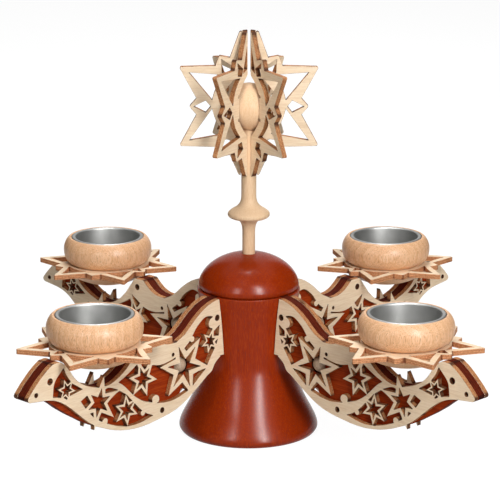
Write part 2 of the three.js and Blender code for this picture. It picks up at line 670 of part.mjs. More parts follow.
for (const [name, azimuth] of Object.entries(ARMS)) {
  const arm = new THREE.Group();
  arm.rotation.z = azimuth;
  group.add(arm);
  const frontSide = name.endsWith('left') ? 1 : -1;
  piece(arm, `${name}_arm_front_panel`, facePanel(frontSide * PANEL_MIDDLE), 'birch');
  piece(arm, `${name}_arm_back_panel`, facePanel(-frontSide * PANEL_MIDDLE), 'birch');
  piece(arm, `${name}_arm_core`, armCore(), 'core');
  const sphere = new THREE.SphereGeometry(BEAD_RADIUS, DOWEL_SIDES, HOLE_SIDES);
  const bead = piece(arm, `${name}_arm_bead`, sphere, 'beech', BEAD_PLACE[1]);
  bead.position.x = BEAD_PLACE[0];

  const holder = new THREE.Group();
  holder.position.x = ARM_REACH;
  holder.rotation.z = name.startsWith('front') ? 0 : Math.PI;
  arm.add(holder);
  const pinFoot = DOME_TOP - DOME_BORE_DEPTH + GAP;
  const pinLength = CUP_BASE + CUP_FLOOR - pinFoot;
  piece(holder, `${name}_dome`, dome(), 'beech', DOME_TOP);
  piece(holder, `${name}_drip_star`, dripStar(), 'birch', PLATE_FOOT);
  piece(holder, `${name}_cup`, cup(), 'beech', CUP_BASE);
  piece(holder, `${name}_cup_dowel`, bar(PIN_RADIUS, pinLength), 'beech', pinFoot);
  piece(holder, `${name}_tealight_holder`, tealightHolder(), 'metal', CUP_BASE + CUP_FLOOR + GAP);
}

piece(group, 'star_stem', stem(CAP_FOOT + CAP_HEIGHT - CAP_STEM_DEPTH + GAP), 'beech');
piece(group, 'star_ball', ball(), 'beech', BALL_HEIGHT);
for (let i = 0; i < BLADES; i += 1) {
  const turn = new THREE.Group();
  turn.rotation.z = 2 * Math.PI * i / BLADES;
  group.add(turn);
  piece(turn, `star_blade_${i + 1}`, blade(), 'birch', BALL_HEIGHT);
}

export default group;
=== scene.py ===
"""Advent candle holder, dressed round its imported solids.

The bell, its cap, the stem, the ball, the beads, the domes, the cups and the dowels are turned. The arm
panels and cores, the drip stars and the star blades are sawn from sheet, and the tealight holders are
pressed from metal. Sizes of pieces are in millimetres, and the scene is in metres.
"""
import logging
from dataclasses import dataclass, field
from enum import Enum
from math import acos, ceil, copysign, cos, hypot, pi, radians, sin, tan
from typing import Any

import bmesh
import bpy
from mathutils import Matrix, Vector
from mathutils.geometry import interpolate_bezier
from mathutils.kdtree import KDTree


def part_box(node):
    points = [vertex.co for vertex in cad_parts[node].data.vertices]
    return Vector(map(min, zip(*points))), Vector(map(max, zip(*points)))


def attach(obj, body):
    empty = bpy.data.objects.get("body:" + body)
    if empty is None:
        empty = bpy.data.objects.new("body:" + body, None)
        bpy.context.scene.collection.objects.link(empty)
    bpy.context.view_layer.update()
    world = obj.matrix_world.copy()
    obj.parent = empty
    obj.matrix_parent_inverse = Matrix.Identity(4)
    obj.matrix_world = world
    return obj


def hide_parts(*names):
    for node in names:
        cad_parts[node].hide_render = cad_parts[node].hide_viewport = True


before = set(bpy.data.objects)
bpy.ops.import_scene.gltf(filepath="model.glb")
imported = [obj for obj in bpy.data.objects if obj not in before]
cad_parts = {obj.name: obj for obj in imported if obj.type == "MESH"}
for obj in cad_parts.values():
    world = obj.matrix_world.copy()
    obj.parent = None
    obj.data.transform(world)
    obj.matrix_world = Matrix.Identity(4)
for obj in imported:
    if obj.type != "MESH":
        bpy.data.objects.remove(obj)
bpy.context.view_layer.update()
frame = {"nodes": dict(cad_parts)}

MM = 0.001
TINY = 1e-7  # metres; points closer than this are one point
STOCK = "stock"  # attribute: where each point lay in the wood that the piece was made from
BURN = "burn"  # attribute: how much the saw browned a point, most at the corners of an outline
SHARP_EDGE = radians(32)

log = logging.getLogger("candle_holder")

ProfilePoint = tuple[float, ...]


# Outlines and profiles


CORNER_TURN = radians(28)  # an outline that turns more than this has a corner there
LONG_SIDE = 3.0  # a side this many times longer than its neighbour is straight
FINENESS = radians(6)  # turn of a curve between two of its points
ROUNDING_SHARE = 0.45  # a rounded corner takes at most this share of each side


@dataclass(frozen=True)
class Mark:
    """A point of an outline, with the size of the rounding where it is a corner."""

    at: Vector
    corner: bool = False
    rounding: float = 0.0


@dataclass(frozen=True)
class Knot:
    """A point of a path, with its directions before and after the point where they are known."""

    at: Vector
    before: Vector | None = None
    after: Vector | None = None


def smooth_direction(a: Vector, b: Vector, c: Vector) -> Vector:
    """Find the direction of a smooth path through three points, at the middle one.

    Args:
        a: The point before.
        b: The point itself.
        c: The point after.

    Returns:
        The direction of the circle through the points, or of a side that is long and so straight.
    """
    come, leave = b - a, c - b
    if come.length > LONG_SIDE * leave.length:
        return come.normalized()
    if leave.length > LONG_SIDE * come.length:
        return leave.normalized()
    return (come.normalized() * leave.length + leave.normalized() * come.length).normalized()


def knots_at(mark: Mark, a: Vector | None, c: Vector | None) -> list[Knot]:
    """Turn a mark into one knot, or into two where its corner is rounded.

    Args:
        mark: The mark.
        a: The point before it, or None at the start of an open path.
        c: The point after it, or None at the end of an open path.

    Returns:
        The knots that stand for the mark.
    """
    if a is None or c is None:
        return [Knot(mark.at)]
    if not mark.corner:
        direction = smooth_direction(a, mark.at, c)
        return [Knot(mark.at, direction, direction)]
    come, leave = mark.at - a, c - mark.at
    size = min(mark.rounding, ROUNDING_SHARE * come.length, ROUNDING_SHARE * leave.length)
    if size <= 0:
        return [Knot(mark.at)]
    come.normalize()
    leave.normalize()
    return [Knot(mark.at - come * size, come, come), Knot(mark.at + leave * size, leave, leave)]


def trace(marks: list[Mark], closed: bool) -> list[Vector]:
    """Draw a path through marks, smooth everywhere except at its corners.

    Args:
        marks: The marks in order.
        closed: Whether the path comes back to its first mark.

    Returns:
        The points of the path, closer together where it bends more.
    """
    count = len(marks)
    knots: list[Knot] = []
    for i, mark in enumerate(marks):
        a = marks[i - 1].at if closed or i > 0 else None
        c = marks[(i + 1) % count].at if closed or i < count - 1 else None
        knots += knots_at(mark, a, c)
    points = [] if closed else [knots[0].at]
    for start, end in zip(knots, knots[1:] + (knots[:1] if closed else [])):
        points += run(start, end)
    return points


def run(start: Knot, end: Knot) -> list[Vector]:
    """Draw the part of a path between two knots.

    Args:
        start: The knot where it starts.
        end: The knot where it ends.

    Returns:
        The points after the start, up to and with the end.
    """
    chord = (end.at - start.at).normalized()
    leave, arrive = start.after, end.before
    if leave is None:
        leave = chord if arrive is None else chord * 2 * chord.dot(arrive) - arrive
    if arrive is None:
        arrive = chord * 2 * chord.dot(leave) - leave
    turn = leave.angle(chord, 0.0) + chord.angle(arrive, 0.0)
    steps = ceil(turn / FINENESS)
    if steps < 2:
        return [end.at]
    reach = (end.at - start.at).length * 2 / 3 * tan(turn / 4) / sin(turn / 2)
    handles = start.at + leave * reach, end.at - arrive * reach
    return [Vector(p[:2]) for p in interpolate_bezier(start.at, *handles, end.at, steps + 1)[1:]]


def divided(points: list[Vector], spacing: float) -> list[Vector]:
    """Divide the long sides of a closed path.

    Args:
        points: The points of the path.
        spacing: The longest side that stays whole.

    Returns:
        The points, with more of them on long sides.
    """
    close = []
    for start, end in zip(points[-1:] + points[:-1], points):
        parts = ceil((end - start).length / spacing) or 1
        close += [start.lerp(end, (i + 1) / parts) for i in range(parts)]
    return close


def profile_path(profile: list[ProfilePoint]) -> list[Vector]:
    """Draw a turned profile.

    Args:
        profile: Points as (radius, height) where the curve is smooth, and (radius, height, rounding)
            at a corner.

    Returns:
        The points of the profile.
    """
    marks = [Mark(Vector(p[:2]), len(p) > 2, p[2] if len(p) > 2 else 0.0) for p in profile]
    return trace(marks, closed=False)


# Finishes


class Graph:
    """A material's or a node group's tree, with short ways to add nodes to it."""

    def __init__(self, tree: bpy.types.NodeTree) -> None:
        """Keep the tree and clear it."""
        self.tree = tree
        tree.nodes.clear()

    def node(self, kind: str, inputs: dict[Any, Any] | None = None, **settings: Any) -> bpy.types.Node:
        """Add a node.

        Args:
            kind: The node's type.
            inputs: Values or sockets for its inputs, by name or number.
            **settings: Its own settings.

        Returns:
            The node.
        """
        made = self.tree.nodes.new(kind)
        for name, value in settings.items():
            setattr(made, name, value)
        for name, value in (inputs or {}).items():
            if isinstance(value, bpy.types.NodeSocket):
                self.tree.links.new(value, made.inputs[name])
            else:
                made.inputs[name].default_value = value
        return made

    def math(self, operation: str, a: Any, b: Any = 0.0, c: Any = 0.0) -> bpy.types.NodeSocket:
        """Add a math node and give its result."""
        return self.node("ShaderNodeMath", {0: a, 1: b, 2: c}, operation=operation).outputs[0]

    def span(self, value: Any, low: float, high: float, to: tuple[float, float]) -> bpy.types.NodeSocket:
        """Bring a value from one range to another, smoothly, and give the result."""
        ends = {"Value": value, "From Min": low, "From Max": high, "To Min": to[0], "To Max": to[1]}
        return self.node("ShaderNodeMapRange", ends, interpolation_type="SMOOTHSTEP").outputs[0]

    def mix(self, share: Any, a: Any, b: Any, blend: str = "MIX") -> bpy.types.NodeSocket:
        """Mix two colours and give the result."""
        made = self.node("ShaderNodeMix", {0: share, 6: a, 7: b}, data_type="RGBA", blend_type=blend)
        return made.outputs[2]

    def ramp(self, share: Any, *stops: tuple[float, tuple[float, ...]]) -> bpy.types.NodeSocket:
        """Run a value through colour stops.

        Args:
            share: Socket of the value.
            *stops: Places from 0 to 1, each with its colour.

        Returns:
            The socket of the colour.
        """
        made = self.node("ShaderNodeValToRGB", {0: share})
        elements = made.color_ramp.elements
        while len(elements) < len(stops):
            elements.new(0.5)
        for element, (place, colour) in zip(elements, stops):
            element.position = place
            element.color = colour
        return made.outputs[0]

    def stretched(self, place: Any, across: Any, along: Any, scale: float, detail: float) -> Any:
        """Give the value of noise that is stretched along the grain.

        Args:
            place: Socket with the place in the stock, its grain along Z.
            across: Size of the noise across the grain.
            along: Size of the noise along the grain.
            scale: Scale of the noise in those sizes.
            detail: How many finer layers it has.

        Returns:
            The socket of the noise's value.
        """
        thin, long = self.math("DIVIDE", 1.0, across), self.math("DIVIDE", 1.0, along)
        sizes = self.node("ShaderNodeCombineXYZ", {0: thin, 1: thin, 2: long}).outputs[0]
        scaled = self.node("ShaderNodeVectorMath", {0: place, 1: sizes}, operation="MULTIPLY").outputs[0]
        noise = {"Vector": scaled, "Scale": scale, "Detail": detail, "Roughness": 0.55}
        return self.node("ShaderNodeTexNoise", noise).outputs[0]


def paint(red: int, green: int, blue: int) -> tuple[float, ...]:
    """Turn a colour as it is seen, from 0 to 255, into the renderer's linear colour."""
    seen = (c / 255 for c in (red, green, blue))
    return tuple(c / 12.92 if c <= 0.04045 else ((c + 0.055) / 1.055) ** 2.4 for c in seen) + (1.0,)


def open_group(name: str, takes: dict[str, str], gives: dict[str, str]) -> tuple[Graph, Any, Any]:
    """Start a shader node group.

    Args:
        name: The group's name.
        takes: Its inputs' names and socket types.
        gives: Its outputs' names and socket types.

    Returns:
        Its graph, the outputs of its input node and the inputs of its output node.
    """
    tree = bpy.data.node_groups.new(name, "ShaderNodeTree")
    for way, sockets in (("INPUT", takes), ("OUTPUT", gives)):
        for socket, kind in sockets.items():
            tree.interface.new_socket(socket, in_out=way, socket_type=kind)
    graph = Graph(tree)
    return graph, graph.node("NodeGroupInput").outputs, graph.node("NodeGroupOutput").inputs


FLOAT, VECTOR = "NodeSocketFloat", "NodeSocketVector"
WAVE_PERIOD = pi / 10  # width of the wave texture's rings at a scale of 1
FLECK_LENGTH = 0.4  # length of a fleck, as a share of a fibre's
GLUE_LINE = 0.36  # place of a glue line, from the sheet's middle at 0 to its faces at 1
BURN_SHARE = 0.45  # how much a point's burn adds to its scorching


def wood_figure() -> bpy.types.NodeTree:
    """Build the group that draws the figure of wood.

    Returns:
        The group, which gives masks of the growth rings, the fibres and the short dark flecks.
    """
    takes = {"Place": VECTOR, "Ring Width": FLOAT, "Fibre Width": FLOAT, "Fibre Length": FLOAT}
    gives = {"Rings": FLOAT, "Fibres": FLOAT, "Flecks": FLOAT}
    graph, given, out = open_group("wood figure", takes, gives)
    link = graph.tree.links.new
    rings = {
        "Vector": given["Place"],
        "Scale": graph.math("DIVIDE", WAVE_PERIOD, given["Ring Width"]),
        "Distortion": 3.2,
        "Detail": 2.0,
        "Detail Scale": 0.35,
    }
    wave = graph.node("ShaderNodeTexWave", rings, wave_type="RINGS", rings_direction="Z", wave_profile="SAW")
    link(wave.outputs["Fac"], out["Rings"])
    sizes = given["Fibre Width"], given["Fibre Length"]
    link(graph.stretched(given["Place"], *sizes, 1.0, 3.0), out["Fibres"])
    short = graph.math("MULTIPLY", given["Fibre Length"], FLECK_LENGTH)
    specks = graph.stretched(given["Place"], given["Fibre Width"], short, 1.4, 0.5)
    link(graph.span(specks, 0.6, 0.72, (0.0, 1.0)), out["Flecks"])
    return graph.tree


def ply_layers() -> bpy.types.NodeTree:
    """Build the group that draws the sawn edge of plywood.

    Returns:
        The group, which gives masks of the glue lines, the end grain and the scorching.
    """
    takes = {"Place": VECTOR, "Thickness": FLOAT, "Burn": FLOAT}
    gives = {"Glue": FLOAT, "Grain": FLOAT, "Scorch": FLOAT}
    graph, given, out = open_group("ply layers", takes, gives)
    link = graph.tree.links.new
    depth = graph.node("ShaderNodeSeparateXYZ", {0: given["Place"]}).outputs[1]
    half = graph.math("MULTIPLY", given["Thickness"], 0.5)
    share = graph.math("DIVIDE", graph.math("ABSOLUTE", depth), half)
    from_glue = graph.math("ABSOLUTE", graph.math("SUBTRACT", share, GLUE_LINE))
    link(graph.span(from_glue, 0.05, 0.16, (1.0, 0.0)), out["Glue"])
    grain = {"Vector": given["Place"], "Scale": 1500.0, "Detail": 3.0, "Roughness": 0.6}
    link(graph.node("ShaderNodeTexNoise", grain).outputs[0], out["Grain"])
    patches = {"Vector": given["Place"], "Scale": 110.0, "Detail": 2.0}
    scorch = graph.node("ShaderNodeTexNoise", patches).outputs[0]
    rim = graph.span(share, 0.75, 1.0, (0.0, 0.2))
    burnt = graph.math("MULTIPLY_ADD", given["Burn"], BURN_SHARE, graph.math("ADD", scorch, rim))
    link(graph.span(burnt, 0.55, 0.88, (0.0, 1.0)), out["Scorch"])
    return graph.tree


@dataclass(frozen=True)
class Finish:
    """What a surface is finished with; each kind draws its own material."""

    name: str
    slot: str

    def material(self) -> bpy.types.Material:
        """Give the finish's material.

        Returns:
            The material, built on first use.
        """
        known = bpy.data.materials.get(self.name)
        if known:
            return known
        made = bpy.data.materials.new(self.name)
        made.use_nodes = True
        graph = Graph(made.node_tree)
        place = graph.node("ShaderNodeAttribute", attribute_name=STOCK).outputs["Vector"]
        shader = graph.node("ShaderNodeBsdfPrincipled", self.draw(graph, place))
        graph.node("ShaderNodeOutputMaterial", {"Surface": shader.outputs[0]})
        return made

    def draw(self, graph: Graph, place: bpy.types.NodeSocket) -> dict[str, Any]:
        """Draw the pattern and give the shader's inputs."""
        raise NotImplementedError

    def group(self, graph: Graph, build: Any, inputs: dict[str, Any]) -> Any:
        """Place a shared node group.

        Args:
            graph: The material's graph.
            build: The function that builds the group, run on first use.
            inputs: The values for the group's inputs.

        Returns:
            The outputs of the group.
        """
        name = build.__name__.replace("_", " ")
        tree = bpy.data.node_groups.get(name) or build()
        made = graph.node("ShaderNodeGroup", node_tree=tree)
        for socket, value in inputs.items():
            if isinstance(value, bpy.types.NodeSocket):
                graph.tree.links.new(value, made.inputs[socket])
            else:
                made.inputs[socket].default_value = value
        return made.outputs


@dataclass(frozen=True)
class Wood(Finish):
    """Wood that shows its figure, bare or under a stain.

    Its colours run from the darkest fibre to the lightest, and its widths, lengths and depths are in
    millimetres. Coat is the share of lacquer over it.
    """

    dark: tuple[int, int, int]
    middle: tuple[int, int, int]
    light: tuple[int, int, int]
    fleck: tuple[int, int, int]
    roughness: float
    ring_width: float = 3.0
    ring_share: float = 0.25
    fibre_width: float = 0.5
    fibre_length: float = 12.0
    fleck_share: float = 0.5
    gloss: float = 0.3
    coat: float = 0.0
    coat_roughness: float = 0.2
    relief: float = 0.15
    relief_depth: float = 0.1
    roughness_swing: float = 0.06

    def draw(self, graph: Graph, place: bpy.types.NodeSocket) -> dict[str, Any]:
        """Draw fibres, growth rings and flecks.

        Args:
            graph: The material's graph.
            place: Socket with the place in the stock.

        Returns:
            The shader's inputs by name.
        """
        sizes = {
            "Place": place,
            "Ring Width": self.ring_width * MM,
            "Fibre Width": self.fibre_width * MM,
            "Fibre Length": self.fibre_length * MM,
        }
        figure = self.group(graph, wood_figure, sizes)
        rings = graph.math("MULTIPLY", graph.math("SUBTRACT", figure["Rings"], 0.5), self.ring_share)
        tone = graph.math("ADD", figure["Fibres"], rings)
        stops = (0.3, paint(*self.dark)), (0.5, paint(*self.middle)), (0.7, paint(*self.light))
        colour = graph.ramp(tone, *stops)
        fleck = graph.math("MULTIPLY", figure["Flecks"], self.fleck_share)
        colour = graph.mix(fleck, colour, paint(*self.fleck))
        bump = {"Height": tone, "Strength": self.relief, "Distance": self.relief_depth * MM}
        swing = self.roughness + self.roughness_swing, self.roughness - self.roughness_swing
        return {
            "Base Color": colour,
            "Roughness": graph.span(figure["Fibres"], 0.2, 0.8, swing),
            "Normal": graph.node("ShaderNodeBump", bump).outputs[0],
            "Specular IOR Level": self.gloss,
            "Coat Weight": self.coat,
            "Coat Roughness": self.coat_roughness,
        }


@dataclass(frozen=True)
class SawnEdge(Finish):
    """The edge that the saw leaves in a sheet: browned, with the layers of the sheet showing."""

    thickness: float
    light: tuple[int, int, int]
    brown: tuple[int, int, int]
    scorched: tuple[int, int, int]
    roughness: float = 0.7
    gloss: float = 0.15
    glue_share: float = 0.5
    scorch_share: float = 0.9
    relief: float = 0.3
    relief_depth: float = 0.15

    def draw(self, graph: Graph, place: bpy.types.NodeSocket) -> dict[str, Any]:
        """Draw the layers, their grain and the scorching.

        Args:
            graph: The material's graph.
            place: Socket with the place in the stock.

        Returns:
            The shader's inputs by name.
        """
        burn = graph.node("ShaderNodeAttribute", attribute_name=BURN).outputs["Fac"]
        sizes = {"Place": place, "Thickness": self.thickness * MM, "Burn": burn}
        layers = self.group(graph, ply_layers, sizes)
        colour = graph.ramp(layers["Grain"], (0.4, paint(*self.brown)), (0.6, paint(*self.light)))
        glue = graph.math("MULTIPLY", layers["Glue"], self.glue_share)
        colour = graph.mix(glue, colour, paint(*self.scorched))
        scorch = graph.math("MULTIPLY", layers["Scorch"], self.scorch_share)
        colour = graph.mix(scorch, colour, paint(*self.scorched))
        bump = {"Height": layers["Grain"], "Strength": self.relief, "Distance": self.relief_depth * MM}
        return {
            "Base Color": colour,
            "Roughness": self.roughness,
            "Specular IOR Level": self.gloss,
            "Normal": graph.node("ShaderNodeBump", bump).outputs[0],
        }


@dataclass(frozen=True)
class PressedMetal(Finish):
    """Thin pressed metal with faint drawing lines and a few dull patches."""

    colour: tuple[int, int, int]
    roughness: float
    line_length: float = 2.0
    line_spacing: float = 0.12
    dulling: float = 0.95
    relief: float = 0.06
    relief_depth: float = 0.05

    def draw(self, graph: Graph, place: bpy.types.NodeSocket) -> dict[str, Any]:
        """Draw the drawing lines and the dull patches.

        Args:
            graph: The material's graph.
            place: Socket with the place in the stock.

        Returns:
            The shader's inputs by name.
        """
        lines = graph.stretched(place, self.line_length * MM, self.line_spacing * MM, 1.0, 2.0)
        noise = {"Vector": place, "Scale": 120.0, "Detail": 3.0}
        patches = graph.node("ShaderNodeTexNoise", noise).outputs[0]
        low, high = paint(*(round(c * self.dulling) for c in self.colour)), paint(*self.colour)
        bump = {"Height": lines, "Strength": self.relief, "Distance": self.relief_depth * MM}
        return {
            "Base Color": graph.ramp(patches, (0.35, low), (0.65, high)),
            "Metallic": 1.0,
            "Roughness": graph.span(patches, 0.3, 0.7, (self.roughness - 0.02, self.roughness + 0.03)),
            "Normal": graph.node("ShaderNodeBump", bump).outputs[0],
        }


STAIN = Wood(
    "stained wood", "stained_wood", dark=(127, 34, 5), middle=(150, 46, 9), light=(167, 60, 15),
    fleck=(112, 26, 4), roughness=0.25, ring_share=0.05, fibre_length=16.0, fleck_share=0.2, gloss=0.12,
    relief=0.03,
)
BEECH = Wood(
    "turned beech", "beech", dark=(218, 160, 110), middle=(238, 188, 144), light=(246, 205, 166),
    fleck=(150, 90, 50), roughness=0.42, ring_width=4.0, ring_share=0.12, fibre_width=0.36,
    fibre_length=9.0, fleck_share=0.6, gloss=0.2, coat=0.04,
)
PALE_BEECH = Wood(
    "pale turned beech", "beech", dark=(230, 191, 149), middle=(238, 203, 164), light=(244, 212, 177),
    fleck=(208, 160, 114), roughness=0.45, ring_share=0.05, fibre_width=0.4, fibre_length=5.0,
    fleck_share=0.2, gloss=0.08,
)
# The bead's colours are darker and greyer than the cups' beech: painted shade for the shade inside the large
# star's opening, where the bead sits.
BEAD_BEECH_PAINTED_SHADE = Wood(
    "bead beech with painted shade", "beech", dark=(172, 144, 116), middle=(190, 164, 138), light=(206, 182, 156),
    fleck=(142, 112, 84), roughness=0.5, ring_share=0.05, fibre_width=0.3, fibre_length=2.0,
)
BIRCH_FACE = Wood(
    "birch ply face", "birch_ply", dark=(233, 205, 170), middle=(242, 217, 184), light=(247, 225, 195),
    fleck=(226, 196, 160), roughness=0.6, ring_width=9.0, ring_share=0.1, fibre_width=0.6,
    fibre_length=9.0, fleck_share=0.25, relief=0.1,
)
CORE_FACE = Wood(
    "stained core face", "stained_core", dark=(134, 41, 6), middle=(157, 54, 11), light=(175, 67, 18),
    fleck=(116, 32, 4), roughness=0.55, ring_width=8.0, ring_share=0.15, fibre_length=12.0,
    fleck_share=0.3, gloss=0.06, relief=0.1,
)
PLY_EDGE = SawnEdge(
    "sawn ply edge", "birch_ply", thickness=3.0, light=(208, 150, 100), brown=(162, 100, 56),
    scorched=(62, 26, 8),
)
CORE_EDGE = SawnEdge(
    "sawn core edge", "stained_core", thickness=5.4, light=(104, 34, 10), brown=(78, 20, 4),
    scorched=(42, 9, 2), gloss=0.05,
)
PALE_EDGE = SawnEdge(
    "pale sawn edge", "birch_ply", thickness=3.0, light=(226, 164, 116), brown=(190, 122, 78),
    scorched=(112, 58, 28),
)
HOLDER_METAL = PressedMetal("pressed metal", "pressed_metal", colour=(146, 146, 144), roughness=0.46)


# Making pieces


class Body(Enum):
    """The bodies that move as one."""

    STAND = "stand"
    CAP = "cap"
    FINIAL = "finial"


def finished(
    name: str, shape: bmesh.types.BMesh, node: str, body: str, finishes: list[Finish]
) -> bpy.types.Object:
    """Make a finished piece of a shape and let it stand for a node.

    Args:
        name: The piece's name.
        shape: Its shape, in metres and in its place; it is used up.
        node: The node that the piece replaces.
        body: The body that it rides on.
        finishes: What its faces are finished with, by their material number.

    Returns:
        The piece.
    """
    mesh = bpy.data.meshes.new(name)
    shape.to_mesh(mesh)
    shape.free()
    mesh.shade_smooth()
    mesh.set_sharp_from_angle(angle=SHARP_EDGE)
    for finish in finishes:
        mesh.materials.append(finish.material())
    piece = bpy.data.objects.new(name, mesh)
    bpy.context.scene.collection.objects.link(piece)
    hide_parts(node)
    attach(piece, body)
    log.info("%s: %d faces, on %s", name, len(mesh.polygons), body)
    return piece


def mark_stock(shape: bmesh.types.BMesh, place: Matrix, shift: tuple[float, float, float]) -> None:
    """Write on each point where it lay in its stock, then put the shape in its place.

    Args:
        shape: The shape in millimetres, in the piece's own frame.
        place: Brings it to its place, in metres.
        shift: Where the piece lay in the stock, in millimetres.
    """
    layer = shape.verts.layers.float_vector.new(STOCK)
    for vertex in shape.verts:
        vertex[layer] = (vertex.co + Vector(shift)) * MM
    bmesh.ops.transform(shape, matrix=place, verts=shape.verts)


@dataclass
class Lathe:
    """Turns profiles round the upright axis."""

    sides: int

    def turn(self, profile: list[ProfilePoint]) -> bmesh.types.BMesh:
        """Turn a profile that starts and ends on the axis, or comes back to its start.

        Args:
            profile: Its points, as profile_path takes them, in millimetres.

        Returns:
            The closed shape in millimetres.
        """
        shape = bmesh.new()
        corners = [shape.verts.new((p.x, 0.0, p.y)) for p in profile_path(profile)]
        edges = [shape.edges.new(pair) for pair in zip(corners, corners[1:])]
        bmesh.ops.spin(
            shape, geom=corners + edges, cent=(0, 0, 0), axis=(0, 0, 1), dvec=(0, 0, 0),
            angle=2 * pi, steps=self.sides, use_merge=True,
        )
        bmesh.ops.remove_doubles(shape, verts=shape.verts, dist=TINY / MM)
        bmesh.ops.recalc_face_normals(shape, faces=shape.faces)
        return shape


def at(x: float, y: float, height: float) -> Matrix:
    """Give the matrix that brings a shape in millimetres to a point given in metres."""
    return Matrix.Translation((x, y, height)) @ Matrix.Scale(MM, 4)


@dataclass
class FretSheet:
    """A piece sawn from sheet: its node's own outline, with the curves made smooth.

    frame brings the sheet's drawing, flat in X and Y with the grain along X, to the node's place. shift
    is where the piece lay in the stock, and the other sizes are in millimetres too.
    """

    node: str
    frame: Matrix
    body: str
    face: Finish
    edge: Finish
    shift: float = 0.0
    tip_rounding: float = 0.2
    kerf: float = 0.12
    bevel: float = 0.14
    spacing: float = 1.2
    burn_reach: float = 2.2

    ROUND_TURNS = (radians(60), radians(45), radians(36))  # turns of circles with 6, 8 and 10 sides
    ROUND_SLACK = radians(3)
    ROUND_POINTS = 12  # a drilled hole has at most this many points
    STRAIGHT = radians(0.5)  # a point where an outline turns less than this is left out
    WELD = 0.001  # millimetres; points of a sheet closer than this are one point
    FLAT = 0.9  # the upward part of the normal of the sheet's face is at least this

    def build(self) -> bpy.types.Object:
        """Saw the piece and finish it.

        Returns:
            The piece.
        """
        sheet = bmesh.new()
        sheet.from_mesh(frame["nodes"][self.node].data)
        bmesh.ops.transform(sheet, matrix=(self.frame @ Matrix.Scale(MM, 4)).inverted(), verts=sheet.verts)
        bmesh.ops.remove_doubles(sheet, verts=sheet.verts, dist=self.WELD)
        heights = [vertex.co.z for vertex in sheet.verts]
        low, high = min(heights), max(heights)
        loops = self.outlines(sheet)
        sheet.free()
        flat = self.sawn(loops, high - low)
        bmesh.ops.translate(flat, vec=(0, 0, (low + high) / 2), verts=flat.verts)
        self.mark_grain(flat, (low + high) / 2)
        self.mark_burn(flat, loops)
        bmesh.ops.transform(flat, matrix=self.frame @ Matrix.Scale(MM, 4), verts=flat.verts)
        return finished(f"{self.node}_wood", flat, self.node, self.body, [self.face, self.edge])

    def outlines(self, sheet: bmesh.types.BMesh) -> list[list[Mark]]:
        """Find the outlines of the sheet's upper face.

        Args:
            sheet: The node's solid in the drawing's frame; all but its upper face is taken away.

        Returns:
            The marks of each outline, the outer one first.
        """
        sheet.normal_update()
        rest = [face for face in sheet.faces if face.normal.z < self.FLAT]
        bmesh.ops.delete(sheet, geom=rest, context="FACES")
        rims = dict.fromkeys(edge for edge in sheet.edges if edge.is_boundary)  # in the same order each run
        loops = []
        while rims:
            edge = next(iter(rims))
            del rims[edge]
            start, vertex = edge.verts
            loop = [start.co.xy]
            while vertex is not start:
                loop.append(vertex.co.xy)
                edge = next(e for e in vertex.link_edges if e in rims)
                del rims[edge]
                vertex = edge.other_vert(vertex)
            loops.append(loop)
        loops.sort(key=lambda loop: -hypot(*(max(c) - min(c) for c in zip(*loop))))
        return [self.marks(loop, outer=i == 0) for i, loop in enumerate(loops)]

    def marks(self, loop: list[Vector], outer: bool) -> list[Mark]:
        """Tell an outline's corners from its curves.

        Args:
            loop: The outline's points.
            outer: Whether it is the outside of the sheet.

        Returns:
            Its marks.
        """
        for _ in range(2):
            loop = [b for a, b, c in around(loop) if abs(turn_at(a, b, c)) > self.STRAIGHT]
        area = sum(a.x * b.y - b.x * a.y for a, b, _ in around(loop))
        turns = [copysign(1.0, area) * turn_at(a, b, c) for a, b, c in around(loop)]
        few = len(loop) <= self.ROUND_POINTS
        drilled = few and all(self.is_round(turn, turns[0]) for turn in turns)
        marks = []
        for i, (point, turn) in enumerate(zip(loop, turns)):
            beside = turns[i - 1], turns[(i + 1) % len(turns)]
            arc = drilled or any(self.is_round(turn, other) for other in beside)
            rounding = self.tip_rounding if outer and turn > 0 else self.kerf
            marks.append(Mark(point, abs(turn) > CORNER_TURN and not arc, rounding))
        return marks

    def is_round(self, turn: float, other: float) -> bool:
        """Tell whether two neighbouring turns belong to a drilled hole or a round tab."""
        alike = abs(turn - other) < self.ROUND_SLACK
        return alike and any(abs(abs(turn) - known) < self.ROUND_SLACK for known in self.ROUND_TURNS)

    def sawn(self, loops: list[list[Mark]], thickness: float) -> bmesh.types.BMesh:
        """Saw the sheet along its outlines.

        Args:
            loops: The marks of each outline.
            thickness: The sheet's thickness.

        Returns:
            The closed shape with eased edges, its middle at height 0.
        """
        curve = bpy.data.curves.new(self.node, "CURVE")
        curve.dimensions = "2D"
        curve.fill_mode = "BOTH"
        curve.extrude = thickness / 2 - self.bevel
        curve.bevel_depth = self.bevel
        curve.bevel_resolution = 0
        curve.offset = -self.bevel
        for loop in loops:
            points = divided(trace(loop, closed=True), self.spacing)
            spline = curve.splines.new("POLY")
            spline.points.add(len(points) - 1)
            spline.points.foreach_set("co", [c for p in points for c in (p.x, p.y, 0.0, 1.0)])
            spline.use_cyclic_u = True
        drawn = bpy.data.objects.new(self.node, curve)
        mesh = bpy.data.meshes.new_from_object(drawn)
        shape = bmesh.new()
        shape.from_mesh(mesh)
        bpy.data.objects.remove(drawn)
        bpy.data.curves.remove(curve)
        bpy.data.meshes.remove(mesh)
        bmesh.ops.remove_doubles(shape, verts=shape.verts, dist=self.WELD)
        bmesh.ops.recalc_face_normals(shape, faces=shape.faces)
        return shape

